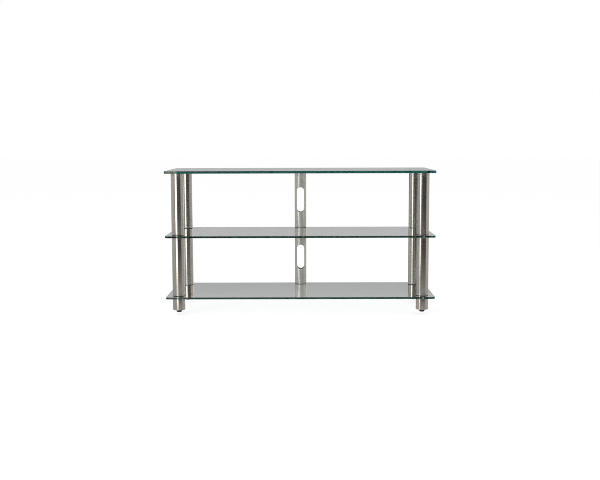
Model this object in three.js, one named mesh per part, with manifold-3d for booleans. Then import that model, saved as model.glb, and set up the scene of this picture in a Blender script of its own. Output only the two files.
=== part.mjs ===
// Three-tier glass rack for audio equipment. Each glass shelf is clamped at its corners between sections of
// steel tube that a tie rod draws together, and a slotted cable post stands at the middle of the back.
// Millimetres. +X is to the right as seen from the front, +Y is to the back and +Z is up. The origin is on
// the floor, under the middle of the shelves.

import * as THREE from "three";
import { mergeVertices } from "three/addons/utils/BufferGeometryUtils.js";
import Module from "manifold-3d";

const wasm = await Module();
wasm.setup();

// Shelves
const SHELF_WIDTH = 1100;
const SHELF_DEPTH = 400;
const SHELF_CORNER_RADIUS = 12;
const TOP_GLASS_THICKNESS = 10;
const LOWER_GLASS_THICKNESS = 8;
const GLASS_ARRIS = 0.8;
const GLASS_HOLE_CLEARANCE = 1;
const SHELF_FIELD_MARGIN = 8;

// Tube sections of the legs and of the cable post
const TUBE_DIAMETER = 50.8;
const TUBE_WALL = 1.2;
const LEG_TUBE_LENGTH = 48;
const LOWER_TUBE_LENGTH = 240;
const UPPER_TUBE_LENGTH = 245;

// Where the tubes stand: each inset runs from the edge of the shelf to the tube's axis
const LEG_INSET_SIDE = 48;
const LEG_INSET_FRONT = 50;
const LEG_INSET_BACK = 50;
const POST_INSET_BACK = 27;

// Cable slots of the post
const SLOT_WIDTH = 32;
const SLOT_LENGTH = 110;

// Centring rings between tube and glass
const RING_THICKNESS = 1;
const RING_SETBACK = 0.4;
const RING_HUB_HEIGHT = 5;

// Discs bonded under the top shelf
const DISC_THICKNESS = 6;
const DISC_HUB_HEIGHT = 9;
const DISC_BORE_FLOOR = 3;

// Tie rods, leg plugs and levelling feet
const ROD_DIAMETER = 10;
const ROD_GRIP = 9;
const ROD_END_CHAMFER = 1;
const PLUG_LENGTH = 32;
const FOOT_DIAMETER = 22;
const FOOT_PAD_HEIGHT = 10;
const FOOT_LOWER_EDGE = 2.5;
const FOOT_UPPER_EDGE = 1;
const ROD_TO_STUD_GAP = 3;

// Fasteners of the cable post
const POST_BOLT_DIAMETER = 8;
const POST_INSERT_LENGTH = 20;
const POST_BOLT_GRIP = 15;
const SCREW_HEAD_DIAMETER = 18;
const SCREW_HEAD_HEIGHT = 5;
const SCREW_HEAD_EDGE = 1.5;

// Clearances: a seat is left between faces that rest on each other, a fit round what goes into a hole
const SEAT = 0.3;
const HUB_FIT = 0.4;
const BORE_FIT = 0.3;
const CUT_OVERRUN = 2;
const MERGE_DISTANCE = 0.001;

// Facets
const TUBE_SIDES = 36;
const FOOT_SIDES = 24;
const RING_SIDES = 18;
const FASTENER_SIDES = 12;
const CORNER_STEPS = 3;
const HOLE_STEPS = 6;
const SLOT_STEPS = 6;

// Worked out from the sizes above
const tubeRadius = TUBE_DIAMETER / 2;
const tubeInnerRadius = tubeRadius - TUBE_WALL;
const hubRadius = tubeInnerRadius - HUB_FIT;
const rodRadius = ROD_DIAMETER / 2;
const rodBoreRadius = rodRadius + BORE_FIT;
const rodHoleRadius = rodRadius + GLASS_HOLE_CLEARANCE;
const postBoltRadius = POST_BOLT_DIAMETER / 2;
const postBoreRadius = postBoltRadius + BORE_FIT;
const postHoleRadius = postBoltRadius + GLASS_HOLE_CLEARANCE;
const ringJoint = SEAT + RING_THICKNESS + SEAT;
const footStudLength = PLUG_LENGTH - ROD_GRIP - ROD_TO_STUD_GAP;

// Heights of the faces, from the floor up
const legTubeBottom = FOOT_PAD_HEIGHT + SEAT;
const legTubeTop = legTubeBottom + LEG_TUBE_LENGTH;
const bottomShelfUnderside = legTubeTop + ringJoint;
const bottomShelfTop = bottomShelfUnderside + LOWER_GLASS_THICKNESS;
const lowerTubeBottom = bottomShelfTop + ringJoint;
const lowerTubeTop = lowerTubeBottom + LOWER_TUBE_LENGTH;
const middleShelfUnderside = lowerTubeTop + ringJoint;
const middleShelfTop = middleShelfUnderside + LOWER_GLASS_THICKNESS;
const upperTubeBottom = middleShelfTop + ringJoint;
const upperTubeTop = upperTubeBottom + UPPER_TUBE_LENGTH;
const discBottom = upperTubeTop + SEAT;
const discTop = discBottom + DISC_THICKNESS;
const topShelfUnderside = discTop + SEAT;

// Places of the legs and of the post, seen from above
const legX = SHELF_WIDTH / 2 - LEG_INSET_SIDE;
const frontLegY = -SHELF_DEPTH / 2 + LEG_INSET_FRONT;
const backLegY = SHELF_DEPTH / 2 - LEG_INSET_BACK;
const postY = SHELF_DEPTH / 2 - POST_INSET_BACK;
const legs = [
  { name: "front_left", x: -legX, y: frontLegY },
  { name: "front_right", x: legX, y: frontLegY },
  { name: "rear_left", x: -legX, y: backLegY },
  { name: "rear_right", x: legX, y: backLegY },
];

// Materials
const glass = new THREE.MeshStandardMaterial({
  color: 0xc4d8d4,
  roughness: 0.03,
  metalness: 0,
  transparent: true,
  opacity: 0.4,
});
const polishedSteel = new THREE.MeshStandardMaterial({ color: 0xc9c6c0, roughness: 0.18, metalness: 1 });
const satinSteel = new THREE.MeshStandardMaterial({ color: 0xb9b6b0, roughness: 0.34, metalness: 1 });
const zincSteel = new THREE.MeshStandardMaterial({ color: 0xa9abad, roughness: 0.45, metalness: 1 });
const blackPlastic = new THREE.MeshStandardMaterial({ color: 0x151515, roughness: 0.55, metalness: 0 });

// A closed mesh as a solid for cutting, and a solid back as a mesh's geometry
function solidOf(geometry) {
  const bare = geometry.index ? geometry.toNonIndexed() : geometry.clone();
  bare.deleteAttribute("normal");
  bare.deleteAttribute("uv");
  const merged = mergeVertices(bare, MERGE_DISTANCE);
  const vertProperties = merged.getAttribute("position").array;
  const triVerts = new Uint32Array(merged.index.array);
  return new wasm.Manifold(new wasm.Mesh({ numProp: 3, vertProperties, triVerts }));
}

function geometryOf(solid) {
  const mesh = solid.getMesh();
  const geometry = new THREE.BufferGeometry();
  geometry.setAttribute("position", new THREE.BufferAttribute(mesh.vertProperties, 3));
  geometry.setIndex(new THREE.BufferAttribute(mesh.triVerts, 1));
  geometry.computeVertexNormals();
  return geometry;
}

// A body of revolution about Z. The profile is a list of [radius, height] points that climbs on the outside,
// and it either starts and ends on the axis or closes on itself.
function turned(profile, sides) {
  const points = profile.map(([radius, height]) => new THREE.Vector2(radius, height));
  return new THREE.LatheGeometry(points, sides).rotateX(Math.PI / 2);
}

// A round bar with a hole through it
function sleeve(outerRadius, innerRadius, length, sides) {
  const profile = [
    [innerRadius, 0],
    [outerRadius, 0],
    [outerRadius, length],
    [innerRadius, length],
    [innerRadius, 0],
  ];
  return turned(profile, sides);
}

// A round bar with a chamfer at each end
function roundBar(radius, length, chamfer) {
  const profile = [
    [0, 0],
    [radius - chamfer, 0],
    [radius, chamfer],
    [radius, length - chamfer],
    [radius - chamfer, length],
    [0, length],
  ];
  return turned(profile, FASTENER_SIDES);
}

// The outline of a glass sheet seen from above, drawn in from its edge by an inset
function sheetOutline(inset) {
  const cornerX = SHELF_WIDTH / 2 - SHELF_CORNER_RADIUS;
  const cornerY = SHELF_DEPTH / 2 - SHELF_CORNER_RADIUS;
  const radius = SHELF_CORNER_RADIUS - inset;
  const quarter = Math.PI / 2;
  const outline = new THREE.Path();
  outline.absarc(cornerX, -cornerY, radius, -quarter, 0);
  outline.absarc(cornerX, cornerY, radius, 0, quarter);
  outline.absarc(-cornerX, cornerY, radius, quarter, Math.PI);
  outline.absarc(-cornerX, -cornerY, radius, Math.PI, Math.PI + quarter);
  return outline.getPoints(CORNER_STEPS);
}

// A round hole seen from above, taken clockwise
function holeOutline({ x, y, radius }, widening) {
  const hole = new THREE.Path();
  hole.absarc(x, y, radius + widening, 0, -Math.PI - Math.PI, true);
  return hole.getPoints(HOLE_STEPS).slice(1);
}

// The clear field of a shelf, between the legs and in front of the post, taken clockwise
function fieldOutline() {
  const halfWidth = legX - tubeRadius - SHELF_FIELD_MARGIN;
  const front = SHELF_FIELD_MARGIN - SHELF_DEPTH / 2;
  const back = postY - tubeRadius - SHELF_FIELD_MARGIN;
  return [
    new THREE.Vector2(-halfWidth, front),
    new THREE.Vector2(-halfWidth, back),
    new THREE.Vector2(halfWidth, back),
    new THREE.Vector2(halfWidth, front),
  ];
}

// A glass sheet with rounded corners, ground edges and round holes, its underside at height zero.
// Its walls climb through four levels, and its faces are divided so that the clear field is two triangles.
function glassSheet(thickness, holes) {
  const levels = [
    { inset: GLASS_ARRIS, z: 0 },
    { inset: 0, z: GLASS_ARRIS },
    { inset: 0, z: thickness - GLASS_ARRIS },
    { inset: GLASS_ARRIS, z: thickness },
  ];
  const positions = [];
  const corner = (point, z) => positions.push(point.x, point.y, z);

  const wall = (lower, lowerZ, upper, upperZ) => {
    lower.forEach((point, i) => {
      const next = (i + 1) % lower.length;
      corner(point, lowerZ);
      corner(lower[next], lowerZ);
      corner(upper[next], upperZ);
      corner(point, lowerZ);
      corner(upper[next], upperZ);
      corner(upper[i], upperZ);
    });
  };
  const loops = levels.map(({ inset }) => [
    sheetOutline(inset),
    ...holes.map((hole) => holeOutline(hole, inset)),
  ]);
  for (let level = 0; level + 1 < levels.length; level += 1) {
    loops[level].forEach((loop, i) => {
      wall(loop, levels[level].z, loops[level + 1][i], levels[level + 1].z);
    });
  }

  const [rim, ...holeRims] = loops[0];
  const field = fieldOutline();
  const rimPoints = [rim, ...holeRims, field].flat();
  const border = THREE.ShapeUtils.triangulateShape(rim, [...holeRims, field]);
  const triangles = border.map((triangle) => triangle.map((index) => rimPoints[index]));
  triangles.push([field[0], field[2], field[1]]);
  triangles.push([field[0], field[3], field[2]]);
  for (const triangle of triangles) {
    triangle.forEach((point) => corner(point, thickness));
    triangle.toReversed().forEach((point) => corner(point, 0));
  }

  const sheet = new THREE.BufferGeometry();
  sheet.setAttribute("position", new THREE.Float32BufferAttribute(positions, 3));
  sheet.computeVertexNormals();
  return sheet;
}

// A tube section, its lower end at height zero
function tubeSection(length) {
  return sleeve(tubeRadius, tubeInnerRadius, length, TUBE_SIDES);
}

// A tube section with a round-ended slot cut through its front and back walls at mid-height
function slottedTube(length) {
  const endRadius = SLOT_WIDTH / 2;
  const endHeight = SLOT_LENGTH / 2 - endRadius;
  const outline = new THREE.Shape();
  outline.absarc(0, endHeight, endRadius, 0, Math.PI);
  outline.absarc(0, -endHeight, endRadius, Math.PI, Math.PI + Math.PI);
  const reach = tubeRadius + CUT_OVERRUN;
  const cutter = new THREE.ExtrudeGeometry(outline, {
    depth: reach + reach,
    bevelEnabled: false,
    curveSegments: SLOT_STEPS,
  });
  cutter.translate(0, 0, -reach).rotateX(Math.PI / 2).translate(0, 0, length / 2);
  return geometryOf(solidOf(tubeSection(length)).subtract(solidOf(cutter)));
}

// A centring ring: a thin flange between tube and glass, with a hub that fits into the tube.
// Its flange starts at height zero, and the hub points up, or down for a tube that hangs below the glass.
function centringRing(boreRadius, pointsUp) {
  const flangeRadius = tubeRadius - RING_SETBACK;
  const hubTop = RING_THICKNESS + RING_HUB_HEIGHT;
  const profile = [
    [boreRadius, 0],
    [flangeRadius, 0],
    [flangeRadius, RING_THICKNESS],
    [hubRadius, RING_THICKNESS],
    [hubRadius, hubTop],
    [boreRadius, hubTop],
    [boreRadius, 0],
  ];
  if (pointsUp) return turned(profile, RING_SIDES);
  const flipped = profile.map(([radius, height]) => [radius, RING_THICKNESS - height]);
  return turned(flipped.reverse(), RING_SIDES);
}

// A flat ring under the cable post, round its bolt
function flatRing(outerRadius) {
  return sleeve(outerRadius, postBoreRadius, RING_THICKNESS, RING_SIDES);
}

// A disc under the top shelf with a hub that goes down into the tube. Its lower face is at height zero.
// A blind bore takes the end of the tie rod, where there is one.
function topDisc(hasBore) {
  const boreTop = DISC_THICKNESS - DISC_BORE_FLOOR;
  const bore = [
    [0, boreTop],
    [rodBoreRadius, boreTop],
    [rodBoreRadius, -DISC_HUB_HEIGHT],
  ];
  const solidCentre = [[0, -DISC_HUB_HEIGHT]];
  const outside = [
    [hubRadius, -DISC_HUB_HEIGHT],
    [hubRadius, 0],
    [tubeRadius, 0],
    [tubeRadius, DISC_THICKNESS],
    [0, DISC_THICKNESS],
  ];
  return turned([...(hasBore ? bore : solidCentre), ...outside], TUBE_SIDES);
}

// A plug in the leg's lower end: the tie rod screws into its top and the levelling foot into its bottom
function legPlug() {
  return sleeve(hubRadius, rodBoreRadius, PLUG_LENGTH, RING_SIDES);
}

// A levelling foot: a round pad on the floor with a threaded stud moulded into it
function levellingFoot() {
  const padRadius = FOOT_DIAMETER / 2;
  const studTop = FOOT_PAD_HEIGHT + footStudLength;
  const profile = [
    [0, 0],
    [padRadius - FOOT_LOWER_EDGE, 0],
    [padRadius, FOOT_LOWER_EDGE],
    [padRadius, FOOT_PAD_HEIGHT - FOOT_UPPER_EDGE],
    [padRadius - FOOT_UPPER_EDGE, FOOT_PAD_HEIGHT],
    [rodRadius, FOOT_PAD_HEIGHT],
    [rodRadius, studTop - ROD_END_CHAMFER],
    [rodRadius - ROD_END_CHAMFER, studTop],
    [0, studTop],
  ];
  return turned(profile, FOOT_SIDES);
}

// A screw that comes up through the bottom shelf into the post. Its head's seat is at height zero.
function postScrew(shankLength) {
  const headRadius = SCREW_HEAD_DIAMETER / 2;
  const profile = [
    [0, -SCREW_HEAD_HEIGHT],
    [headRadius - SCREW_HEAD_EDGE, -SCREW_HEAD_HEIGHT],
    [headRadius, SCREW_HEAD_EDGE - SCREW_HEAD_HEIGHT],
    [headRadius, 0],
    [postBoltRadius, 0],
    [postBoltRadius, shankLength - ROD_END_CHAMFER],
    [postBoltRadius - ROD_END_CHAMFER, shankLength],
    [0, shankLength],
  ];
  return turned(profile, FASTENER_SIDES);
}

// A named piece at a height in its group
function addPiece(group, name, geometry, material, z) {
  const mesh = new THREE.Mesh(geometry, material);
  mesh.name = name;
  mesh.position.z = z;
  group.add(mesh);
}

function addShelves(group) {
  const rodHoles = legs.map(({ x, y }) => ({ x, y, radius: rodHoleRadius }));
  const holes = [...rodHoles, { x: 0, y: postY, radius: postHoleRadius }];
  const lowerSheet = () => glassSheet(LOWER_GLASS_THICKNESS, holes);
  addPiece(group, "bottom_shelf_glass", lowerSheet(), glass, bottomShelfUnderside);
  addPiece(group, "middle_shelf_glass", lowerSheet(), glass, middleShelfUnderside);
  addPiece(group, "top_shelf_glass", glassSheet(TOP_GLASS_THICKNESS, []), glass, topShelfUnderside);
}

// One corner leg: foot, plug, three tube sections with their rings, the tie rod and the top disc
function makeLeg({ name, x, y }) {
  const leg = new THREE.Group();
  leg.position.set(x, y, 0);
  const add = (piece, geometry, material, z) => addPiece(leg, `${name}_${piece}`, geometry, material, z);
  const ringUp = () => centringRing(rodBoreRadius, true);
  const ringDown = () => centringRing(rodBoreRadius, false);

  add("levelling_foot", levellingFoot(), blackPlastic, 0);
  add("leg_plug", legPlug(), zincSteel, legTubeBottom);
  add("leg_tube", tubeSection(LEG_TUBE_LENGTH), polishedSteel, legTubeBottom);
  add("ring_under_bottom_shelf", ringDown(), blackPlastic, legTubeTop + SEAT);
  add("ring_on_bottom_shelf", ringUp(), blackPlastic, bottomShelfTop + SEAT);
  add("lower_tube", tubeSection(LOWER_TUBE_LENGTH), polishedSteel, lowerTubeBottom);
  add("ring_under_middle_shelf", ringDown(), blackPlastic, lowerTubeTop + SEAT);
  add("ring_on_middle_shelf", ringUp(), blackPlastic, middleShelfTop + SEAT);
  add("upper_tube", tubeSection(UPPER_TUBE_LENGTH), polishedSteel, upperTubeBottom);
  add("top_disc", topDisc(true), polishedSteel, discBottom);

  const rodBottom = legTubeBottom + PLUG_LENGTH - ROD_GRIP;
  const rodTop = discTop - DISC_BORE_FLOOR - SEAT;
  add("tie_rod", roundBar(rodRadius, rodTop - rodBottom, ROD_END_CHAMFER), zincSteel, rodBottom);
  return leg;
}

// The cable post: two slotted tube sections, inserts in their ends, and the bolts to the lower two shelves
function makeCablePost() {
  const post = new THREE.Group();
  post.position.set(0, postY, 0);
  const add = (piece, geometry, material, z) => addPiece(post, `cable_post_${piece}`, geometry, material, z);
  const insert = () => sleeve(hubRadius, postBoreRadius, POST_INSERT_LENGTH, RING_SIDES);
  const ring = () => flatRing(tubeRadius - RING_SETBACK);

  add("ring_on_bottom_shelf", ring(), blackPlastic, bottomShelfTop + SEAT);
  add("lower_tube", slottedTube(LOWER_TUBE_LENGTH), satinSteel, lowerTubeBottom);
  add("lower_tube_bottom_insert", insert(), zincSteel, lowerTubeBottom);
  add("lower_tube_top_insert", insert(), zincSteel, lowerTubeTop - POST_INSERT_LENGTH);
  add("ring_under_middle_shelf", ring(), blackPlastic, lowerTubeTop + SEAT);
  add("ring_on_middle_shelf", ring(), blackPlastic, middleShelfTop + SEAT);
  add("upper_tube", slottedTube(UPPER_TUBE_LENGTH), satinSteel, upperTubeBottom);
  add("upper_tube_bottom_insert", insert(), zincSteel, upperTubeBottom);
  add("top_disc", topDisc(false), polishedSteel, discBottom);

  const studBottom = lowerTubeTop - POST_BOLT_GRIP;
  const studLength = upperTubeBottom + POST_BOLT_GRIP - studBottom;
  add("middle_stud", roundBar(postBoltRadius, studLength, ROD_END_CHAMFER), zincSteel, studBottom);

  const washerBottom = bottomShelfUnderside - SEAT - RING_THICKNESS;
  const screwSeat = washerBottom - SEAT;
  const screwLength = lowerTubeBottom + POST_BOLT_GRIP - screwSeat;
  add("screw_washer", flatRing(SCREW_HEAD_DIAMETER / 2), blackPlastic, washerBottom);
  add("bottom_screw", postScrew(screwLength), zincSteel, screwSeat);
  return post;
}

const rack = new THREE.Group();
addShelves(rack);
for (const leg of legs) rack.add(makeLeg(leg));
rack.add(makeCablePost());

export default rack;
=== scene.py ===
import math

import bmesh
import bpy
from mathutils import Euler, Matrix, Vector


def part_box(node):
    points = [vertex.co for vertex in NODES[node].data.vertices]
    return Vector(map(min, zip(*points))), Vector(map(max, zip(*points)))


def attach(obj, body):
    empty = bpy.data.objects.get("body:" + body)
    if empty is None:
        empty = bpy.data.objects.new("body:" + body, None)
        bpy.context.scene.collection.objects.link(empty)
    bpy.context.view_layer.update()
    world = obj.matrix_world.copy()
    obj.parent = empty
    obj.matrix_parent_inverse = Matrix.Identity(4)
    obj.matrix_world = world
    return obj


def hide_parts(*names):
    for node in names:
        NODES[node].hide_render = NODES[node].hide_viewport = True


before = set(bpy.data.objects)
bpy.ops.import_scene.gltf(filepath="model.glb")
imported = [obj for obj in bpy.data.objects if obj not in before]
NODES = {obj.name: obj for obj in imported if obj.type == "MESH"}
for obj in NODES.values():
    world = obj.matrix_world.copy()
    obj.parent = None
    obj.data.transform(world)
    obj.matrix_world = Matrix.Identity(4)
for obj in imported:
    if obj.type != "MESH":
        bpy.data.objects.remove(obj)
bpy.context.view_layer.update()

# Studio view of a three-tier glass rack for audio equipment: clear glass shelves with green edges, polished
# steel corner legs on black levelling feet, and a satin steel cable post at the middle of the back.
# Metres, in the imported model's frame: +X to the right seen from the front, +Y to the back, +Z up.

MM = 0.001
CORNERS = ("front_left", "front_right", "rear_left", "rear_right")

# Camera, from the photograph's outlines
SENSOR_WIDTH = 36.0
LENS = 56.73
CAMERA_PLACE = (0.0198, -4.009, 0.718)
CAMERA_PITCH = math.radians(6.215)
CAMERA_YAW = math.radians(0.308)
CAMERA_ROLL = math.radians(-0.17)
VIEW_END = 200.0

# Light paths and the width of the pixel filter
GLOSSY_BOUNCES = 12
ALL_BOUNCES = 16
FILTER_WIDTH = 1.0

# Sizes of the pieces that their boxes don't tell
TUBE_WALL = 1.2 * MM
TUBE_RIM = 0.3 * MM
SLOT_WIDTH = 32 * MM
SLOT_LENGTH = 110 * MM
SLOT_RIM = 0.25 * MM
ROD_RADIUS = 5 * MM
ROD_BORE_RADIUS = 5.3 * MM
POST_BORE_RADIUS = 4.3 * MM
RING_FLANGE = 1 * MM
RING_RIM = RING_FLANGE / 5
HUB_RADIUS = 23.8 * MM
DISC_THICKNESS = 6 * MM
DISC_RIM = 0.6 * MM
DISC_BORE_DEPTH = 12 * MM
FOOT_TRAVEL = 12 * MM
FOOT_PAD_HEIGHT = 10 * MM
FOOT_LOWER_EDGE = 2.5 * MM
FOOT_UPPER_EDGE = 1 * MM
FOOT_RIBS = 24
FOOT_RIB_DEPTH = 0.4 * MM
THREAD_PITCH = 1.5 * MM
THREAD_DEPTH = 0.8 * MM
SCREW_HEAD_HEIGHT = 5 * MM
SCREW_HEAD_EDGE = 1.5 * MM
SCREW_SOCKET_SIDES = 6
SCREW_SOCKET_RADIUS = 3.4 * MM
SCREW_SOCKET_DEPTH = 2.6 * MM

# How finely the meshes are made. Half of a rib's steps are its groove.
TUBE_SIDES = 96
RING_SIDES = 72
SCREW_SIDES = 48
THREAD_SIDES = 24
THREAD_ROWS_PER_TURN = 6
RIB_STEPS = 4
RIM_STEPS = 3
SLOT_STEPS = 25
SLOT_RIM_STEPS = 2
SHARP_ANGLE = math.radians(35)
MERGE_DISTANCE = 1e-7
WELD_DISTANCE = 0.002 * MM

# Most of a side that a rounded corner may take, and how far a slot's cutter reaches in tube radii
RIM_SHARE = 0.45
SLOT_CUTTER_REACH = 1.5

# Sockets of the colour mix node, which its names don't tell apart
MIX_COLOUR_INPUTS = (6, 7)
MIX_COLOUR_OUTPUT = 2

# Range that most of a noise pattern lies in
NOISE_RANGE = (0.3, 0.7)

# Polished steel of the legs and satin steel of the post, ground round the tube
LEG_STEEL = {
    "colour": (0.600, 0.555, 0.500, 1.0),
    "roughness": 0.19,
    "grain_pitch": 0.25 * MM,
    "grain_depth": 0.002 * MM,
    "metallic": 1.0,
}
POST_STEEL = {
    "colour": (0.710, 0.665, 0.610, 1.0),
    "roughness": 0.45,
    "grain_pitch": 0.35 * MM,
    "grain_depth": 0.006 * MM,
    "metallic": 0.75,
}
STEEL_ANISOTROPY = 1.0
STEEL_GRAIN_TURN = 0.25
STEEL_WEAR = (0.52, 0.62)
STEEL_GRAIN = {"detail": 2.0, "stretch": (0.04, 0.04, 1.0), "roughness": 0.6}
STEEL_GRAIN_TONES = (0.94, 1.06)
STEEL_GRAIN_ROUGHNESS = (-0.03, 0.03)
STEEL_GRAIN_STRENGTH = 0.35
SMUDGES = {"scale": 14.0, "detail": 4.0, "stretch": (1.0, 1.0, 0.6), "roughness": 0.55}
SMUDGE_TONES = (0.96, 1.03)
SMUDGE_ROUGHNESS = (-0.015, 0.03)
SMUDGE_ROUGHNESS_RANGE = (0.35, 0.7)
DULL_SHARE, PALE_SHARE, WORN_SHARE = 0.8, 1.2, 1.35
WORN_SMOOTHING = 0.05

# Zinc plating
ZINC_DULL = (0.42, 0.44, 0.46, 1.0)
ZINC_PALE = (0.56, 0.57, 0.58, 1.0)
ZINC_ROUGHNESS = (0.32, 0.46)
ZINC_PATCH_SCALE = 260.0
ZINC_GRAIN = {"scale": 900.0, "detail": 3.0}
ZINC_GRAIN_STRENGTH = 0.3
ZINC_GRAIN_DEPTH = 0.02 * MM

# Black plastic of the feet and of the rings
FOOT_PLASTIC = {"base": 0.02, "roughness": 0.45}
RING_PLASTIC = {"base": 0.03, "roughness": 0.5}
PLASTIC_DULL, PLASTIC_PALE, PLASTIC_WORN = 0.8, 1.3, 3.0
PLASTIC_SMOOTHER, PLASTIC_ROUGHER = 0.05, 0.08
PLASTIC_SPECULAR = 0.4
PLASTIC_WEAR = (0.53, 0.65)
PLASTIC_HAZE = {"scale": 60.0, "detail": 4.0}
PLASTIC_GRAIN = {"scale": 2600.0, "detail": 2.0}
PLASTIC_GRAIN_STRENGTH = 0.4
PLASTIC_GRAIN_DEPTH = 0.05 * MM

# Glass. The colour and density of what each shelf takes up give its edge the green. They also hold painted
# shade: the middle shelf takes up most, so its edge reads darkest, and the bottom shelf takes up more than
# the top.
GLASS_IOR = 1.52
GLASS_TINT = (0.985, 1.0, 0.994, 1.0)
GLASS_SHADOW_TINT = (0.95, 0.955, 0.953, 1.0)
GLASS_TAKE_UP_AND_SHADE = {
    "top": ((0.0, 0.44, 0.42, 1.0), 10.8),
    "middle": ((0.0, 0.34, 0.28, 1.0), 12.0),
    "bottom": ((0.0, 0.38, 0.34, 1.0), 11.5),
}
GRAZING_START, GRAZING_END = 0.72, 0.86
GRAZING_MIRROR = 0.95
GLASS_HAZE = {"scale": 7.0, "detail": 5.0}
GLASS_HAZE_RANGE = (0.45, 0.75)
GLASS_HAZE_TONE = 0.97
STEEL_LIGHT_BLUR = 0.04

# Room and backdrop, by the sine of the angle above the horizon
ROOM_LIGHT = 0.7
BACKDROP_TOP = math.sin(math.radians(8.5))
CEILING_START = math.sin(math.radians(24))
CEILING_TONE = 0.6

# Floor, as low as the feet screw out to, so that a lowered foot shows whole
FLOOR_HEIGHT = -FOOT_TRAVEL
FLOOR_HALF = 30.0
FLOOR_TONE = 0.9
FLOOR_GLOW_TONE = 1.185
FLOOR_GLOW = 0.65

# Upright cards that only steel mirrors: ends on the floor, height and tone
STEEL_CARDS = {
    "softbox": ([(-1.14, -1.08), (-0.60, -1.38)], 2.2, 2.5),
    "dark_card": ([(-0.4, -2.35), (1.75, -0.92)], 2.0, 0.04),
    "rear_softbox": ([(0.1, 3.0), (0.9, 3.0)], 2.2, 1.6),
    "rear_dark_card": ([(-2.2, 2.6), (-0.1, 2.8)], 2.0, 0.05),
}

# Sheets on the floor that only steel mirrors: corners and tone
STEEL_FLOOR_CARDS = {
    "dark_floor": ([(-0.4, -2.35), (1.75, -0.92), (1.2, -0.45), (-0.45, -0.5)], 0.24),
    "grey_floor": ([(-0.56, -0.28), (-2.5, -1.0), (-2.5, 0.9), (-0.56, 0.3)], 0.45),
}

# Ceiling card, which only steel mirrors
CEILING_CARD_TONE = 1.2
CEILING_CARD_HALF = 2.2
CEILING_CARD_HEIGHT = 2.6

# Wall behind the rack, which only glass mirrors. Its tone goes from low to high between two heights.
BACK_LOW_TONE, BACK_HIGH_TONE = 0.37, 0.47
BACK_TONE_HEIGHTS = (0.22, 0.45)
BACK_PLACE = 1.0
BACK_SOLID_HALF, BACK_HALF_WIDTH = 1.0, 3.0
BACK_SOLID_HEIGHT, BACK_HEIGHT = 0.75, 2.0

# Tent round the rack, which steel and glass mirror
TENT_TONE = 0.56
TENT_LOW_TONE = 0.1
TENT_LOW_END = (0.5, 0.85)
TENT_FRONT_TONE = 0.38
TENT_FRONT_END = (-3.3, -1.2)
TENT_RADIUS = 3.6
TENT_STEPS = 64
TENT_SOLID_HEIGHT, TENT_HEIGHT = 1.8, 3.0

# Glossy sheet on the floor, which steel and glass mirror
FLOOR_CARD_IOR = 1.5
FLOOR_CARD_TONE = 0.5
FLOOR_CARD_ROUGHNESS = 0.12
FLOOR_CARD_LIFT = 0.5 * MM

# Small light at the left end of the top shelf's front edge, which only glass mirrors
EDGE_LIGHT_COLOUR = (1.0, 0.82, 0.62, 1.0)
EDGE_LIGHT_TONE = 3.3
EDGE_LIGHT_PLACE = [(-0.600, -0.30), (-0.508, -0.30)]
EDGE_LIGHT_HEIGHTS = (0.560, 0.586)

# Square area lamps: place, side and power
LAMP_TARGET = (0.0, 0.0, 0.3)
LAMPS = {
    "key_lamp": ((-2.6, -3.4, 3.2), 2.4, 70.0),
    "fill_lamp": ((3.0, -2.0, 2.6), 2.0, 22.0),
}


# Node helpers


def node(tree, kind, inputs=None, **settings):
    """A new node with its settings, and its inputs set to values or linked to sockets."""
    made = tree.nodes.new(kind)
    for name, value in settings.items():
        setattr(made, name, value)
    for name, value in (inputs or {}).items():
        if isinstance(value, bpy.types.NodeSocket):
            tree.links.new(value, made.inputs[name])
        else:
            made.inputs[name].default_value = value
    return made


def grey(value):
    return (value, value, value, 1.0)


def scaled(colour, share):
    """The colour made darker or lighter."""
    return [min(1.0, part * share) for part in colour[:3]] + [1.0]


def new_material(name):
    material = bpy.data.materials.new(name)
    material.use_nodes = True
    material.node_tree.nodes.clear()
    return material, material.node_tree


def blend_colour(tree, factor, first, second):
    """A colour that goes from the first to the second as the factor goes from 0 to 1."""
    mix = node(tree, "ShaderNodeMix", {"Factor": factor}, data_type="RGBA")
    for index, colour in zip(MIX_COLOUR_INPUTS, (first, second)):
        if isinstance(colour, bpy.types.NodeSocket):
            tree.links.new(colour, mix.inputs[index])
        else:
            mix.inputs[index].default_value = colour
    return mix.outputs[MIX_COLOUR_OUTPUT]


def blend_shader(tree, share, first, second):
    """The second shader in the share of it, and the first in the rest."""
    return node(tree, "ShaderNodeMixShader", {0: share, 1: first, 2: second}).outputs[0]


def spread(tree, value, low, high, start=0.0, end=1.0, kind="LINEAR"):
    """The value's range from start to end, spread from low to high."""
    settings = {"Value": value, "From Min": start, "From Max": end, "To Min": low, "To Max": high}
    return node(tree, "ShaderNodeMapRange", settings, interpolation_type=kind).outputs["Result"]


def maths(tree, operation, first, second):
    made = node(tree, "ShaderNodeMath", operation=operation)
    for socket, value in zip(made.inputs, (first, second)):
        if isinstance(value, bpy.types.NodeSocket):
            tree.links.new(value, socket)
        else:
            socket.default_value = value
    return made.outputs[0]


def noise(tree, scale, detail, stretch=(1.0, 1.0, 1.0), roughness=0.5):
    """A noise pattern in the object's own coordinates, squeezed along each axis by stretch."""
    place = node(tree, "ShaderNodeTexCoord").outputs["Object"]
    mapped = node(tree, "ShaderNodeMapping", {"Vector": place, "Scale": stretch}).outputs["Vector"]
    settings = {"Vector": mapped, "Scale": scale, "Detail": detail, "Roughness": roughness}
    return node(tree, "ShaderNodeTexNoise", settings).outputs["Fac"]


def bumps(tree, height, strength, depth):
    settings = {"Height": height, "Strength": strength, "Distance": depth}
    return node(tree, "ShaderNodeBump", settings).outputs["Normal"]


def worn_edges(tree, start, end):
    """1 along edges that get rubbed, and 0 on flat faces."""
    pointed = node(tree, "ShaderNodeNewGeometry").outputs["Pointiness"]
    return spread(tree, pointed, 0.0, 1.0, start, end)


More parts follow.
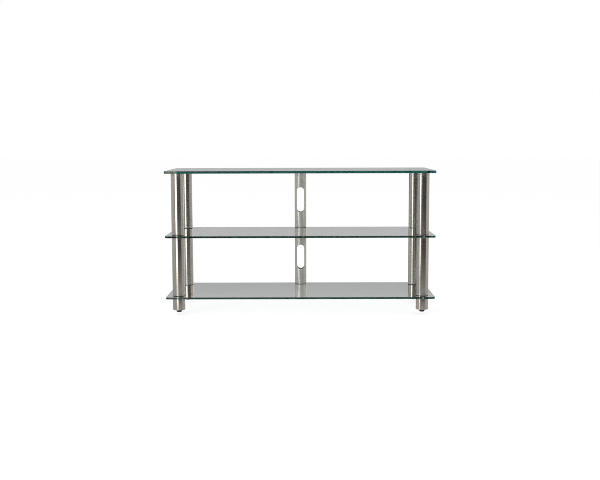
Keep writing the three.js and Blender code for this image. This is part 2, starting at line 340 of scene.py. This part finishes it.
def glow(tree, colour, strength):
    return node(tree, "ShaderNodeEmission", {"Color": colour, "Strength": strength}).outputs[0]


def light_path(tree):
    return node(tree, "ShaderNodeLightPath").outputs


def place_parts(tree):
    """The X, Y and Z of a point of the surface."""
    place = node(tree, "ShaderNodeNewGeometry").outputs["Position"]
    return node(tree, "ShaderNodeSeparateXYZ", {"Vector": place}).outputs


def output(tree, surface, volume=None):
    made = node(tree, "ShaderNodeOutputMaterial", {"Surface": surface})
    if volume is not None:
        tree.links.new(volume, made.inputs["Volume"])


# Materials of the object


def steel(name, colour, roughness, grain_pitch, grain_depth, metallic):
    """Stainless steel ground round the tube: fine rings of grain, smudges, and brighter worn edges."""
    material, tree = new_material(name)
    grain = noise(tree, 1.0 / grain_pitch, **STEEL_GRAIN)
    smudges = noise(tree, **SMUDGES)
    wear = worn_edges(tree, *STEEL_WEAR)

    grain_tone = spread(tree, grain, *STEEL_GRAIN_TONES, *NOISE_RANGE)
    smudge_tone = spread(tree, smudges, *SMUDGE_TONES, *NOISE_RANGE)
    tone = maths(tree, "MULTIPLY", grain_tone, smudge_tone)
    tone = spread(tree, tone, 0.0, 1.0, DULL_SHARE, PALE_SHARE)
    toned = blend_colour(tree, tone, scaled(colour, DULL_SHARE), scaled(colour, PALE_SHARE))

    rough = spread(tree, grain, *STEEL_GRAIN_ROUGHNESS, *NOISE_RANGE)
    rough = maths(tree, "ADD", rough, roughness)
    smudged = spread(tree, smudges, *SMUDGE_ROUGHNESS, *SMUDGE_ROUGHNESS_RANGE)
    rough = maths(tree, "ADD", smudged, rough)
    rough = maths(tree, "SUBTRACT", rough, spread(tree, wear, 0.0, WORN_SMOOTHING))
    settings = {
        "Base Color": blend_colour(tree, wear, toned, scaled(colour, WORN_SHARE)),
        "Metallic": metallic,
        "Roughness": rough,
        "Anisotropic": STEEL_ANISOTROPY,
        "Anisotropic Rotation": STEEL_GRAIN_TURN,
        "Normal": bumps(tree, grain, STEEL_GRAIN_STRENGTH, grain_depth),
    }
    output(tree, node(tree, "ShaderNodeBsdfPrincipled", settings).outputs[0])
    return material


def zinc(name):
    """Zinc-plated steel: bluish grey with faint crystal patches."""
    material, tree = new_material(name)
    place = node(tree, "ShaderNodeTexCoord").outputs["Object"]
    cells = {"Vector": place, "Scale": ZINC_PATCH_SCALE}
    patches = node(tree, "ShaderNodeTexVoronoi", cells).outputs["Color"]
    shade = node(tree, "ShaderNodeSeparateColor", {"Color": patches}).outputs["Red"]
    grain = noise(tree, **ZINC_GRAIN)
    settings = {
        "Base Color": blend_colour(tree, shade, ZINC_DULL, ZINC_PALE),
        "Metallic": 1.0,
        "Roughness": spread(tree, grain, *ZINC_ROUGHNESS, *NOISE_RANGE),
        "Normal": bumps(tree, grain, ZINC_GRAIN_STRENGTH, ZINC_GRAIN_DEPTH),
    }
    output(tree, node(tree, "ShaderNodeBsdfPrincipled", settings).outputs[0])
    return material


def black_plastic(name, base, roughness):
    """Black moulded plastic with a fine spark-eroded grain, paler where it is rubbed."""
    material, tree = new_material(name)
    grain = noise(tree, **PLASTIC_GRAIN)
    haze = noise(tree, **PLASTIC_HAZE)
    wear = worn_edges(tree, *PLASTIC_WEAR)
    tone = spread(tree, haze, 0.0, 1.0, *NOISE_RANGE)
    toned = blend_colour(tree, tone, grey(base * PLASTIC_DULL), grey(base * PLASTIC_PALE))
    smoothest, roughest = roughness - PLASTIC_SMOOTHER, roughness + PLASTIC_ROUGHER
    settings = {
        "Base Color": blend_colour(tree, wear, toned, grey(base * PLASTIC_WORN)),
        "Roughness": spread(tree, haze, smoothest, roughest, *NOISE_RANGE),
        "Specular IOR Level": PLASTIC_SPECULAR,
        "Normal": bumps(tree, grain, PLASTIC_GRAIN_STRENGTH, PLASTIC_GRAIN_DEPTH),
    }
    output(tree, node(tree, "ShaderNodeBsdfPrincipled", settings).outputs[0])
    return material


def glass(name, take_up_and_shade_colour, take_up_and_shade_density):
    """Clear float glass. It bends and mirrors light at its faces and takes up red inside, so that its edges
    look green. How much it takes up also holds painted shade, set shelf by shelf. At a grazing angle the
    face mirrors nearly all."""
    material, tree = new_material(name)
    path = light_path(tree)
    fresnel = node(tree, "ShaderNodeFresnel", {"IOR": GLASS_IOR}).outputs["Fac"]
    facing = node(tree, "ShaderNodeLayerWeight", {"Blend": 0.5}).outputs["Facing"]
    grazing = spread(tree, facing, 0.0, GRAZING_MIRROR, GRAZING_START, GRAZING_END, "SMOOTHSTEP")
    inside = node(tree, "ShaderNodeNewGeometry").outputs["Backfacing"]

    # A ray from rough steel sees the glass faintly blurred and without the grazing mirror
    from_steel = maths(tree, "SUBTRACT", path["Is Glossy Ray"], path["Is Singular Ray"])
    from_elsewhere = maths(tree, "SUBTRACT", 1.0, from_steel)
    outer_share = maths(tree, "MAXIMUM", fresnel, maths(tree, "MULTIPLY", grazing, from_elsewhere))
    blur = maths(tree, "MULTIPLY", from_steel, STEEL_LIGHT_BLUR)
    haze = spread(tree, noise(tree, **GLASS_HAZE), 0.0, 1.0, *GLASS_HAZE_RANGE)
    sheen = blend_colour(tree, haze, grey(1.0), grey(GLASS_HAZE_TONE))

    mirror = "ShaderNodeBsdfAnisotropic"
    outer_mirror = node(tree, mirror, {"Color": sheen, "Roughness": blur}).outputs[0]
    inner_mirror = node(tree, mirror, {"Color": grey(1.0), "Roughness": blur}).outputs[0]
    bending = {"Color": GLASS_TINT, "Roughness": blur, "IOR": GLASS_IOR}
    through = node(tree, "ShaderNodeBsdfRefraction", bending).outputs[0]
    outer = blend_shader(tree, outer_share, through, outer_mirror)
    inner = blend_shader(tree, fresnel, through, inner_mirror)
    body = blend_shader(tree, inside, outer, inner)

    lit = maths(tree, "MAXIMUM", path["Is Shadow Ray"], path["Is Diffuse Ray"])
    open_glass = node(tree, "ShaderNodeBsdfTransparent", {"Color": GLASS_SHADOW_TINT}).outputs[0]
    take_up_and_shade = {"Color": take_up_and_shade_colour, "Density": take_up_and_shade_density}
    volume = node(tree, "ShaderNodeVolumeAbsorption", take_up_and_shade).outputs[0]
    output(tree, blend_shader(tree, lit, body, open_glass), volume)
    return material


MATERIALS = {
    "polished_steel": steel("polished_steel", **LEG_STEEL),
    "satin_steel": steel("satin_steel", **POST_STEEL),
    "zinc_steel": zinc("zinc_steel"),
    "black_plastic": black_plastic("black_plastic", **FOOT_PLASTIC),
    "ring_plastic": black_plastic("ring_plastic", **RING_PLASTIC),
}
GLASSES = {}
# Each shelf gets its own glass: the real green it takes up, plus painted shade that darkens the middle and
# bottom shelves' edges.
for tier, shelf_take_up_and_shade in GLASS_TAKE_UP_AND_SHADE.items():
    GLASSES[f"{tier}_shelf_glass"] = glass(f"{tier}_glass", *shelf_take_up_and_shade)


# Meshes of the turned pieces


def finish_mesh(name, mesh, material):
    """The mesh as an object, smooth but for its sharp edges."""
    mesh.shade_smooth()
    mesh.set_sharp_from_angle(angle=SHARP_ANGLE)
    mesh.materials.append(material)
    piece = bpy.data.objects.new(name, mesh)
    bpy.context.scene.collection.objects.link(piece)
    return piece


def mesh_from(bm, name):
    """The edited mesh as mesh data, with its faces turned outwards."""
    bmesh.ops.recalc_face_normals(bm, faces=bm.faces)
    mesh = bpy.data.meshes.new(name)
    bm.to_mesh(mesh)
    bm.free()
    return mesh


def rounded_corner(before, corner, after, radius):
    """The (radius, height) points of an arc that takes the place of a profile's corner."""
    here = Vector(corner)
    back, on = Vector(before) - here, Vector(after) - here
    reach = min(radius, back.length * RIM_SHARE, on.length * RIM_SHARE)
    start = here + back.normalized() * reach
    end = here + on.normalized() * reach
    shares = [step / RIM_STEPS for step in range(RIM_STEPS + 1)]
    points = [start * (1 - t) ** 2 + here * 2 * t * (1 - t) + end * t ** 2 for t in shares]
    return [(point.x, point.y) for point in points]


def rounded(profile, radius):
    """A closed profile of (radius, height) points with each corner rounded."""
    points = []
    for i, corner in enumerate(profile):
        points += rounded_corner(profile[i - 1], corner, profile[(i + 1) % len(profile)], radius)
    return points


def round_place(centre, radius, angle, height):
    """A point at an angle round the upright line through centre."""
    return (centre[0] + radius * math.cos(angle), centre[1] + radius * math.sin(angle), height)


def turned_mesh(name, profile, centre, sides, radius_at=None):
    """A body of revolution about the upright line through centre. The profile is a closed loop of
    (radius, height) points. radius_at may change a point's radius at a step round the body."""
    bm = bmesh.new()
    loops = []
    for step in range(sides):
        angle = math.tau * step / sides
        loop = []
        for radius, height in profile:
            if radius_at is not None:
                radius = radius_at(radius, step)
            loop.append(bm.verts.new(round_place(centre, radius, angle, height)))
        loops.append(loop)
    count = len(profile)
    for step in range(sides):
        this, following = loops[step], loops[(step + 1) % sides]
        for i in range(count):
            after = (i + 1) % count
            bm.faces.new((this[i], following[i], following[after], this[after]))
    bmesh.ops.remove_doubles(bm, verts=bm.verts, dist=MERGE_DISTANCE)
    bmesh.ops.dissolve_degenerate(bm, edges=bm.edges, dist=MERGE_DISTANCE)
    return mesh_from(bm, name)


def measures(cad_node):
    """A round node's centre, radius, lowest and highest point, from its box."""
    low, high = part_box(cad_node)
    centre = ((low.x + high.x) / 2, (low.y + high.y) / 2)
    return centre, (high.x - low.x) / 2, low.z, high.z


def stand_in(piece, cad_node, body):
    """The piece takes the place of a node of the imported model."""
    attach(piece, body)
    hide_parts(cad_node)


def tube_mesh(cad_node, name):
    centre, radius, low, high = measures(cad_node)
    inner = radius - TUBE_WALL
    profile = [(inner, low), (radius, low), (radius, high), (inner, high)]
    return turned_mesh(name, rounded(profile, TUBE_RIM), centre, TUBE_SIDES)


def make_leg_tube(cad_node):
    name = f"{cad_node}_polished"
    piece = finish_mesh(name, tube_mesh(cad_node, name), MATERIALS["polished_steel"])
    stand_in(piece, cad_node, "rack")


def stadium_cutter(centre, middle, reach):
    """A round-ended block that cuts the cable slot through both walls, as an object."""
    radius = SLOT_WIDTH / 2
    straight = SLOT_LENGTH / 2 - radius
    outline = []
    for end, start_angle in ((straight, 0.0), (-straight, math.pi)):
        for step in range(SLOT_STEPS + 1):
            angle = start_angle + math.pi * step / SLOT_STEPS
            outline.append((radius * math.cos(angle), middle + end + radius * math.sin(angle)))
    bm = bmesh.new()
    front = [bm.verts.new((centre[0] + x, centre[1] - reach, z)) for x, z in outline]
    back = [bm.verts.new((centre[0] + x, centre[1] + reach, z)) for x, z in outline]
    bm.faces.new(front)
    bm.faces.new(list(reversed(back)))
    for i in range(len(outline)):
        after = (i + 1) % len(outline)
        bm.faces.new((front[after], front[i], back[i], back[after]))
    cutter = bpy.data.objects.new("slot_cutter", mesh_from(bm, "slot_cutter"))
    bpy.context.scene.collection.objects.link(cutter)
    return cutter


def make_post_tube(cad_node):
    """A post tube with its slot, whose cut edges are broken by a small bevel."""
    name = f"{cad_node}_satin"
    centre, radius, low, high = measures(cad_node)
    blank = finish_mesh(name + "_blank", tube_mesh(cad_node, name), MATERIALS["satin_steel"])
    cutter = stadium_cutter(centre, (low + high) / 2, radius * SLOT_CUTTER_REACH)
    cut = blank.modifiers.new("slot", "BOOLEAN")
    cut.operation = "DIFFERENCE"
    cut.solver = "EXACT"
    cut.object = cutter
    edge = blank.modifiers.new("edge", "BEVEL")
    edge.width = SLOT_RIM
    edge.segments = SLOT_RIM_STEPS
    edge.limit_method = "ANGLE"
    edge.angle_limit = SHARP_ANGLE
    edge.use_clamp_overlap = False
    graph = bpy.context.evaluated_depsgraph_get()
    mesh = bpy.data.meshes.new_from_object(blank.evaluated_get(graph))
    mesh.name = name
    bpy.data.objects.remove(blank)
    bpy.data.objects.remove(cutter)
    mesh.materials.clear()
    piece = finish_mesh(name, mesh, MATERIALS["satin_steel"])
    stand_in(piece, cad_node, "rack")


def make_disc(cad_node):
    """The disc bonded under the top shelf, with its hub down into the tube."""
    name = f"{cad_node}_turned"
    centre, radius, low, high = measures(cad_node)
    middle = (0.0, high)
    shoulder = (HUB_RADIUS, high - DISC_THICKNESS)
    rim_low, rim_high = (radius, high - DISC_THICKNESS), (radius, high)
    profile = [
        middle,
        (0.0, low + DISC_BORE_DEPTH),
        (ROD_BORE_RADIUS, low + DISC_BORE_DEPTH),
        (ROD_BORE_RADIUS, low),
        (HUB_RADIUS, low),
        shoulder,
        *rounded_corner(shoulder, rim_low, rim_high, DISC_RIM),
        *rounded_corner(rim_low, rim_high, middle, DISC_RIM),
    ]
    mesh = turned_mesh(name, profile, centre, TUBE_SIDES)
    piece = finish_mesh(name, mesh, MATERIALS["polished_steel"])
    stand_in(piece, cad_node, "rack")


def ring_profile(bore, radius, low, high, hub):
    """A flat washer, or a thin flange with a hub that points up or down."""
    if hub is None:
        return [(bore, low), (radius, low), (radius, high), (bore, high)]
    if hub == "up":
        step = low + RING_FLANGE
        outside = [(radius, low), (radius, step), (HUB_RADIUS, step), (HUB_RADIUS, high)]
    else:
        step = high - RING_FLANGE
        outside = [(HUB_RADIUS, low), (HUB_RADIUS, step), (radius, step), (radius, high)]
    return [(bore, low), *outside, (bore, high)]


def make_ring(cad_node, bore, hub):
    """A thin black ring between tube and glass. One with a hub fits into the tube above or below it."""
    name = f"{cad_node}_moulded"
    centre, radius, low, high = measures(cad_node)
    profile = rounded(ring_profile(bore, radius, low, high, hub), RING_RIM)
    mesh = turned_mesh(name, profile, centre, RING_SIDES)
    piece = finish_mesh(name, mesh, MATERIALS["ring_plastic"])
    stand_in(piece, cad_node, "rack")


def thread_mesh(name, centre, radius, low, high):
    """A threaded stud: a tube of rings whose radius follows the thread's flanks round and up."""
    bm = bmesh.new()
    rows = int(round((high - low) / THREAD_PITCH * THREAD_ROWS_PER_TURN))
    loops = []
    for row in range(rows + 1):
        height = low + (high - low) * row / rows
        fade = min(1.0, (rows - row) / THREAD_ROWS_PER_TURN)
        loop = []
        for step in range(THREAD_SIDES):
            turn = step / THREAD_SIDES
            phase = ((height - low) / THREAD_PITCH - turn) % 1.0
            depth = THREAD_DEPTH * (1 - abs(2 * phase - 1))
            here = radius - depth * fade - (1 - fade) * THREAD_DEPTH
            loop.append(bm.verts.new(round_place(centre, here, math.tau * turn, height)))
        loops.append(loop)
    for lower, upper in zip(loops, loops[1:]):
        for step in range(THREAD_SIDES):
            after = (step + 1) % THREAD_SIDES
            bm.faces.new((lower[step], lower[after], upper[after], upper[step]))
    bm.faces.new(list(reversed(loops[0])))
    bm.faces.new(loops[-1])
    return mesh_from(bm, name)


def make_foot(corner):
    """A levelling foot: a black pad with a ribbed grip, and the threaded stud moulded into it."""
    cad_node = f"{corner}_levelling_foot"
    body = f"{corner}_foot"
    centre, radius, low, high = measures(cad_node)
    pad_top = low + FOOT_PAD_HEIGHT
    profile = [
        (0.0, low),
        (radius - FOOT_LOWER_EDGE, low),
        (radius, low + FOOT_LOWER_EDGE),
        (radius, pad_top - FOOT_UPPER_EDGE),
        (radius - FOOT_UPPER_EDGE, pad_top),
        (ROD_RADIUS, pad_top),
        (0.0, pad_top),
    ]

    def grooved(point_radius, step):
        in_groove = step % RIB_STEPS < RIB_STEPS / 2
        on_grip = point_radius > radius - FOOT_UPPER_EDGE / 2
        return point_radius - FOOT_RIB_DEPTH if in_groove and on_grip else point_radius

    name = f"{cad_node}_pad"
    mesh = turned_mesh(name, profile, centre, FOOT_RIBS * RIB_STEPS, grooved)
    pad = finish_mesh(name, mesh, MATERIALS["black_plastic"])
    stand_in(pad, cad_node, body)
    name = f"{cad_node}_stud"
    mesh = thread_mesh(name, centre, ROD_RADIUS, pad_top - FOOT_UPPER_EDGE, high)
    stud = finish_mesh(name, mesh, MATERIALS["zinc_steel"])
    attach(stud, body)


def make_post_screw(cad_node):
    """The screw under the bottom shelf that holds the cable post, with a hexagon socket in its head."""
    name = f"{cad_node}_socket_head"
    centre, radius, low, high = measures(cad_node)
    seat = low + SCREW_HEAD_HEIGHT
    shank = POST_BORE_RADIUS - (ROD_BORE_RADIUS - ROD_RADIUS)
    socket_end = low + SCREW_SOCKET_DEPTH
    profile = [
        (0.0, socket_end),
        (SCREW_SOCKET_RADIUS, socket_end),
        (SCREW_SOCKET_RADIUS, low),
        (radius - SCREW_HEAD_EDGE, low),
        (radius, low + SCREW_HEAD_EDGE),
        (radius, seat),
        (shank, seat),
        (shank, high),
        (0.0, high),
    ]

    def hexagon(point_radius, step):
        if point_radius != SCREW_SOCKET_RADIUS:
            return point_radius
        side = math.tau / SCREW_SOCKET_SIDES
        angle = math.tau * step / SCREW_SIDES
        return SCREW_SOCKET_RADIUS * math.cos(side / 2) / math.cos(angle % side - side / 2)

    mesh = turned_mesh(name, profile, centre, SCREW_SIDES, hexagon)
    piece = finish_mesh(name, mesh, MATERIALS["zinc_steel"])
    stand_in(piece, cad_node, "rack")


def dress_kept_nodes():
    """Nodes whose own shape stays get their material and smooth shading from modifiers."""
    for name, cad_object in NODES.items():
        if cad_object.hide_render:
            continue
        if name in GLASSES:
            material = GLASSES[name]
        elif name.endswith("screw_washer"):
            material = MATERIALS["ring_plastic"]
        else:
            material = MATERIALS["zinc_steel"]
        for material_slot in cad_object.material_slots:
            material_slot.material = material
        weld = cad_object.modifiers.new("weld", "WELD")
        weld.merge_threshold = WELD_DISTANCE
        split = cad_object.modifiers.new("edges", "EDGE_SPLIT")
        split.split_angle = SHARP_ANGLE
        even = cad_object.modifiers.new("normals", "WEIGHTED_NORMAL")
        even.keep_sharp = True


def make_pieces():
    for corner in CORNERS:
        for section in ("leg_tube", "lower_tube", "upper_tube"):
            make_leg_tube(f"{corner}_{section}")
        make_disc(f"{corner}_top_disc")
        for shelf in ("bottom_shelf", "middle_shelf"):
            make_ring(f"{corner}_ring_under_{shelf}", ROD_BORE_RADIUS, "down")
            make_ring(f"{corner}_ring_on_{shelf}", ROD_BORE_RADIUS, "up")
        make_foot(corner)
    make_disc("cable_post_top_disc")
    for section in ("lower_tube", "upper_tube"):
        make_post_tube(f"cable_post_{section}")
    for ring in ("ring_on_bottom_shelf", "ring_under_middle_shelf", "ring_on_middle_shelf"):
        make_ring(f"cable_post_{ring}", POST_BORE_RADIUS, None)
    make_post_screw("cable_post_bottom_screw")
    dress_kept_nodes()


# Camera, room and floor


def make_camera():
    data = bpy.data.cameras.new("camera")
    data.sensor_width = SENSOR_WIDTH
    data.lens = LENS
    data.clip_end = VIEW_END
    camera = bpy.data.objects.new("camera", data)
    camera.location = CAMERA_PLACE
    turn = Euler((math.pi / 2 - CAMERA_PITCH, 0.0, CAMERA_YAW), "XYZ").to_matrix()
    roll = Euler((0.0, 0.0, CAMERA_ROLL), "XYZ").to_matrix()
    camera.rotation_euler = (turn @ roll).to_euler()
    bpy.context.scene.collection.objects.link(camera)
    bpy.context.scene.camera = camera


def seen_directly(tree):
    """1 for rays from the camera, from a mirror or through glass, and 0 for the rest."""
    path = light_path(tree)
    mirrored = maths(tree, "MAXIMUM", path["Is Glossy Ray"], path["Is Transmission Ray"])
    return maths(tree, "MAXIMUM", path["Is Camera Ray"], mirrored)


def make_world():
    """Plain room light, and a white backdrop where the camera, a mirror or glass looks at it."""
    world = bpy.data.worlds.new("studio")
    bpy.context.scene.world = world
    world.use_nodes = True
    tree = world.node_tree
    tree.nodes.clear()
    direction = node(tree, "ShaderNodeTexCoord").outputs["Generated"]
    height = node(tree, "ShaderNodeSeparateXYZ", {"Vector": direction}).outputs["Z"]
    tone = spread(tree, height, 1.0, CEILING_TONE, BACKDROP_TOP, CEILING_START, "SMOOTHSTEP")
    backdrop = node(tree, "ShaderNodeBackground", {"Color": grey(1.0), "Strength": tone}).outputs[0]
    room = node(tree, "ShaderNodeBackground", {"Color": grey(1.0), "Strength": ROOM_LIGHT}).outputs[0]
    both = blend_shader(tree, seen_directly(tree), room, backdrop)
    node(tree, "ShaderNodeOutputWorld", {"Surface": both})


def stage_mesh(name, corners, faces, material):
    mesh = bpy.data.meshes.new(name)
    mesh.from_pydata(corners, [], faces)
    mesh.materials.append(material)
    card = bpy.data.objects.new(name, mesh)
    bpy.context.scene.collection.objects.link(card)
    return card


def flat_sheet(name, outline, height, material):
    """A level sheet with four corners."""
    return stage_mesh(name, [(*point, height) for point in outline], [(0, 1, 2, 3)], material)


def square(half):
    return [(-half, -half), (half, -half), (half, half), (-half, half)]


def make_floor():
    """A pale floor that runs into the white backdrop and keeps the object's shadow."""
    material, tree = new_material("studio_floor")
    lit = node(tree, "ShaderNodeBsdfDiffuse", {"Color": grey(FLOOR_TONE)}).outputs[0]
    shown = blend_shader(tree, FLOOR_GLOW, lit, glow(tree, grey(1.0), FLOOR_GLOW_TONE))
    output(tree, blend_shader(tree, seen_directly(tree), lit, shown))
    flat_sheet("floor", square(FLOOR_HALF), FLOOR_HEIGHT, material)


# Cards that show only in mirrors


def mirror_only(card):
    """The card shows only in what mirrors it."""
    card.visible_camera = False
    card.visible_diffuse = False
    card.visible_shadow = False
    card.visible_volume_scatter = False


def sharp(tree):
    """1 for a ray that only glass has mirrored or bent since the camera, 0 for one from steel."""
    return light_path(tree)["Is Singular Ray"]


def mirrored_by_glass(tree):
    """1 for a ray that a glass face mirrored, unlike one that came through it."""
    return maths(tree, "SUBTRACT", sharp(tree), light_path(tree)["Is Transmission Ray"])


def seen_in_mirrors(tree):
    """1 for all rays but those that came through glass straight from the camera."""
    straight = maths(tree, "MULTIPLY", light_path(tree)["Is Transmission Ray"], sharp(tree))
    return maths(tree, "SUBTRACT", 1.0, straight)


def show_card(tree, share, surface):
    """The card shows in the share of its surface, and is clear in the rest."""
    clear = node(tree, "ShaderNodeBsdfTransparent").outputs[0]
    output(tree, blend_shader(tree, share, clear, surface))


def steel_card_material(name, tone):
    """A card that polished steel mirrors. It doesn't stand as a sharp shape in the glass."""
    material, tree = new_material(name)
    show_card(tree, maths(tree, "SUBTRACT", 1.0, sharp(tree)), glow(tree, grey(1.0), tone))
    return material


def tent_material():
    """A grey tent round the rack, darker in front, which steel and glass mirror from every side."""
    material, tree = new_material("tent_card")
    parts = place_parts(tree)
    height = spread(tree, parts["Z"], 0.0, 1.0, *TENT_LOW_END, "SMOOTHSTEP")
    front = blend_colour(tree, height, grey(TENT_LOW_TONE), grey(TENT_FRONT_TONE))
    side = spread(tree, parts["Y"], 0.0, 1.0, *TENT_FRONT_END, "SMOOTHSTEP")
    tone = blend_colour(tree, side, front, grey(TENT_TONE))
    share = spread(tree, parts["Z"], 1.0, 0.0, TENT_SOLID_HEIGHT, TENT_HEIGHT, "SMOOTHSTEP")
    share = maths(tree, "MULTIPLY", share, seen_in_mirrors(tree))
    show_card(tree, share, glow(tree, tone, 1.0))
    return material


def back_card_material():
    """The grey wall that the shelves mirror, darker near the floor, soft at its top and ends."""
    material, tree = new_material("back_card")
    parts = place_parts(tree)
    tone = spread(tree, parts["Z"], BACK_LOW_TONE, BACK_HIGH_TONE, *BACK_TONE_HEIGHTS)
    side = maths(tree, "ABSOLUTE", parts["X"], 0.0)
    end_fade = spread(tree, side, 1.0, 0.0, BACK_SOLID_HALF, BACK_HALF_WIDTH, "SMOOTHSTEP")
    top_fade = spread(tree, parts["Z"], 1.0, 0.0, BACK_SOLID_HEIGHT, BACK_HEIGHT, "SMOOTHSTEP")
    share = maths(tree, "MULTIPLY", end_fade, top_fade)
    share = maths(tree, "MULTIPLY", share, mirrored_by_glass(tree))
    show_card(tree, share, glow(tree, grey(1.0), tone))
    return material


def floor_card_material():
    """A glossy grey floor sheet: at a low angle it mirrors the cards that stand on it."""
    material, tree = new_material("floor_card")
    fresnel = node(tree, "ShaderNodeFresnel", {"IOR": FLOOR_CARD_IOR}).outputs["Fac"]
    polish = {"Color": grey(1.0), "Roughness": FLOOR_CARD_ROUGHNESS}
    gloss = node(tree, "ShaderNodeBsdfAnisotropic", polish).outputs[0]
    both = blend_shader(tree, fresnel, glow(tree, grey(1.0), FLOOR_CARD_TONE), gloss)
    show_card(tree, seen_in_mirrors(tree), both)
    return material


def edge_card_material():
    """A small warm light that only the front edge of the top shelf mirrors."""
    material, tree = new_material("edge_card")
    show_card(tree, mirrored_by_glass(tree), glow(tree, EDGE_LIGHT_COLOUR, EDGE_LIGHT_TONE))
    return material


def upright_card(name, points, height, material, foot=FLOOR_HEIGHT):
    """An upright card over a line of points, shown only in mirrors."""
    count = len(points)
    corners = [(*point, foot) for point in points] + [(*point, height) for point in points]
    faces = [(i, i + 1, count + i + 1, count + i) for i in range(count - 1)]
    mirror_only(stage_mesh(name, corners, faces, material))


def arc_points(radius, steps):
    """Points round the origin, closed."""
    turn = math.tau / steps
    return [(radius * math.cos(turn * i), radius * math.sin(turn * i)) for i in range(steps + 1)]


def make_cards():
    """The light, grey and dark cards that steel and glass mirror. The camera doesn't see them."""
    for name, (ends, height, tone) in STEEL_CARDS.items():
        upright_card(name, ends, height, steel_card_material(name, tone))
    for name, (outline, tone) in STEEL_FLOOR_CARDS.items():
        height = FLOOR_HEIGHT + 2 * FLOOR_CARD_LIFT
        mirror_only(flat_sheet(name, outline, height, steel_card_material(name, tone)))
    ends = [(-BACK_HALF_WIDTH, BACK_PLACE), (BACK_HALF_WIDTH, BACK_PLACE)]
    upright_card("back_card", ends, BACK_HEIGHT, back_card_material())
    upright_card("tent_card", arc_points(TENT_RADIUS, TENT_STEPS), TENT_HEIGHT, tent_material())
    height = FLOOR_HEIGHT + FLOOR_CARD_LIFT
    mirror_only(flat_sheet("floor_card", square(TENT_RADIUS), height, floor_card_material()))
    low, high = EDGE_LIGHT_HEIGHTS
    upright_card("edge_card", EDGE_LIGHT_PLACE, high, edge_card_material(), low)
    ceiling = steel_card_material("ceiling_card", CEILING_CARD_TONE)
    mirror_only(flat_sheet("ceiling_card", square(CEILING_CARD_HALF), CEILING_CARD_HEIGHT, ceiling))


def make_lamps():
    """Two soft lamps that light the object and cast its shadow. No mirror or glass shows them."""
    for name, (place, side, power) in LAMPS.items():
        data = bpy.data.lights.new(name, "AREA")
        data.shape = "RECTANGLE"
        data.size, data.size_y = side, side
        data.energy = power
        lamp = bpy.data.objects.new(name, data)
        lamp.location = place
        lamp.rotation_euler = (Vector(LAMP_TARGET) - Vector(place)).to_track_quat("-Z", "Y").to_euler()
        lamp.visible_camera = False
        lamp.visible_glossy = False
        lamp.visible_transmission = False
        bpy.context.scene.collection.objects.link(lamp)


make_camera()
make_pieces()
make_world()
make_floor()
make_cards()
make_lamps()

settings = bpy.context.scene.view_settings
settings.view_transform = "Standard"
cycles = bpy.context.scene.cycles
cycles.glossy_bounces = GLOSSY_BOUNCES
cycles.max_bounces = ALL_BOUNCES
cycles.filter_width = FILTER_WIDTH
